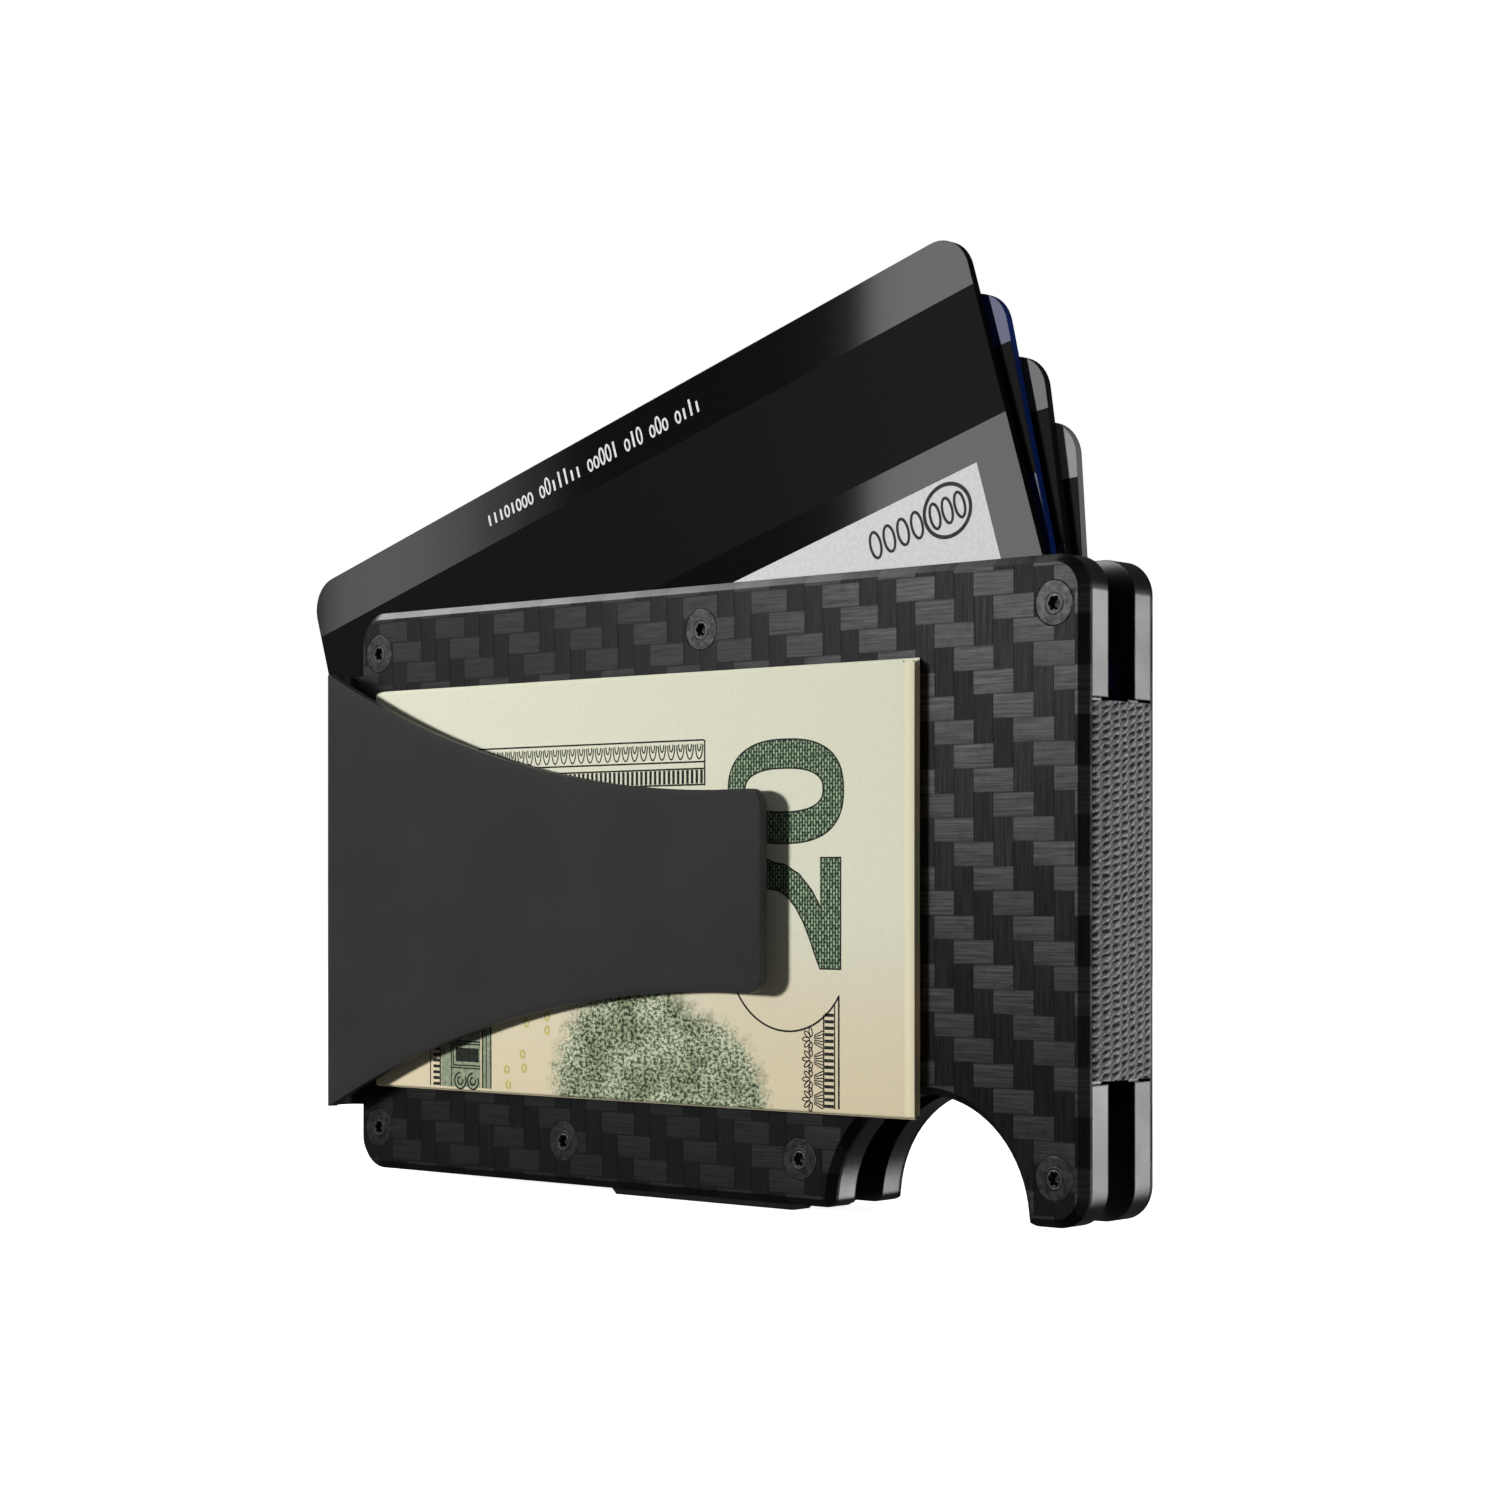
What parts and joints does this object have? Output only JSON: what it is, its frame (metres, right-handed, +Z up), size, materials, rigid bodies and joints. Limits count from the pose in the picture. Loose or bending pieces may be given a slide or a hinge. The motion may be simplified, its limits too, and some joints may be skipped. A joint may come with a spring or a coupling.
{
  "type": "card wallet",
  "caption": "Minimalist card wallet: two woven-fibre plates with an elastic band between, fanned cards inside, a coated spring money clip holding folded banknotes",
  "frame": {"origin": "centre of the outside flat face of the rear outer plate", "axes": "+X along the wallet away from the clip's bend, +Y out of the rear face, +Z up across the plates"},
  "size_m": [0.0968, 0.014, 0.0821],
  "materials": {
    "weave": "satin",
    "inner_plate": "satin",
    "screw_steel": "satin",
    "band": "matte",
    "clip_coat": "matte",
    "card_dark": "gloss",
    "card_blue": "gloss",
    "card_grey": "gloss",
    "card_light": "gloss",
    "note_paper": "matte"
  },
  "bodies": {
    "front_plate": {"front_outer_plate": "weave", "front_inner_plate": "inner_plate", "front_screws": "screw_steel", "clip_screws": "screw_steel", "clip_base": "clip_coat"},
    "rear_plate": {"rear_outer_plate": "weave", "rear_inner_plate": "inner_plate", "rear_screws": "screw_steel", "elastic_band": "band"},
    "clip_arm": {"clip_arm": "clip_coat"},
    "card_1": {"card_1": "card_dark"},
    "card_2": {"card_2": "card_blue"},
    "card_3": {"card_3": "card_grey"},
    "card_4": {"card_4": "card_light"},
    "notes": {"banknote_1": "note_paper", "banknote_2": "note_paper", "banknote_3": "note_paper"}
  },
  "joints": [
    {"name": "plate_spread", "type": "slide", "parent": "rear_plate", "child": "front_plate", "axis": [0, -1, 0], "range_m": [0, 0.0064], "stiffness_N_per_m": 600, "springref_m": -0.002, "deforming": ["elastic_band"]},
    {"name": "clip_hinge", "type": "hinge", "parent": "front_plate", "child": "clip_arm", "pos_m": [-0.0429, -0.01104, 0], "axis": [0, 0, -1], "range_deg": [0, 7], "stiffness_Nm_per_rad": 0.3},
    {"name": "card_1_fan", "type": "hinge", "parent": "rear_plate", "child": "card_1", "pos_m": [-0.05979, -0.00655, -0.00883], "axis": [0, -1, 0], "range_deg": [-16.9, 3]},
    {"name": "card_2_fan", "type": "hinge", "parent": "rear_plate", "child": "card_2", "pos_m": [-0.06623, -0.00563, -0.01133], "axis": [0, -1, 0], "range_deg": [-12.9, 3]},
    {"name": "card_3_fan", "type": "hinge", "parent": "rear_plate", "child": "card_3", "pos_m": [-0.08158, -0.00471, -0.01749], "axis": [0, -1, 0], "range_deg": [-8.4, 2]},
    {"name": "card_4_fan", "type": "hinge", "parent": "rear_plate", "child": "card_4", "pos_m": [-0.13524, -0.00379, -0.04244], "axis": [0, -1, 0], "range_deg": [-3.9, 1.5]},
    {"name": "notes_slide", "type": "slide", "parent": "front_plate", "child": "notes", "axis": [1, 0, 0], "range_m": [0, 0.06]}
  ]
}
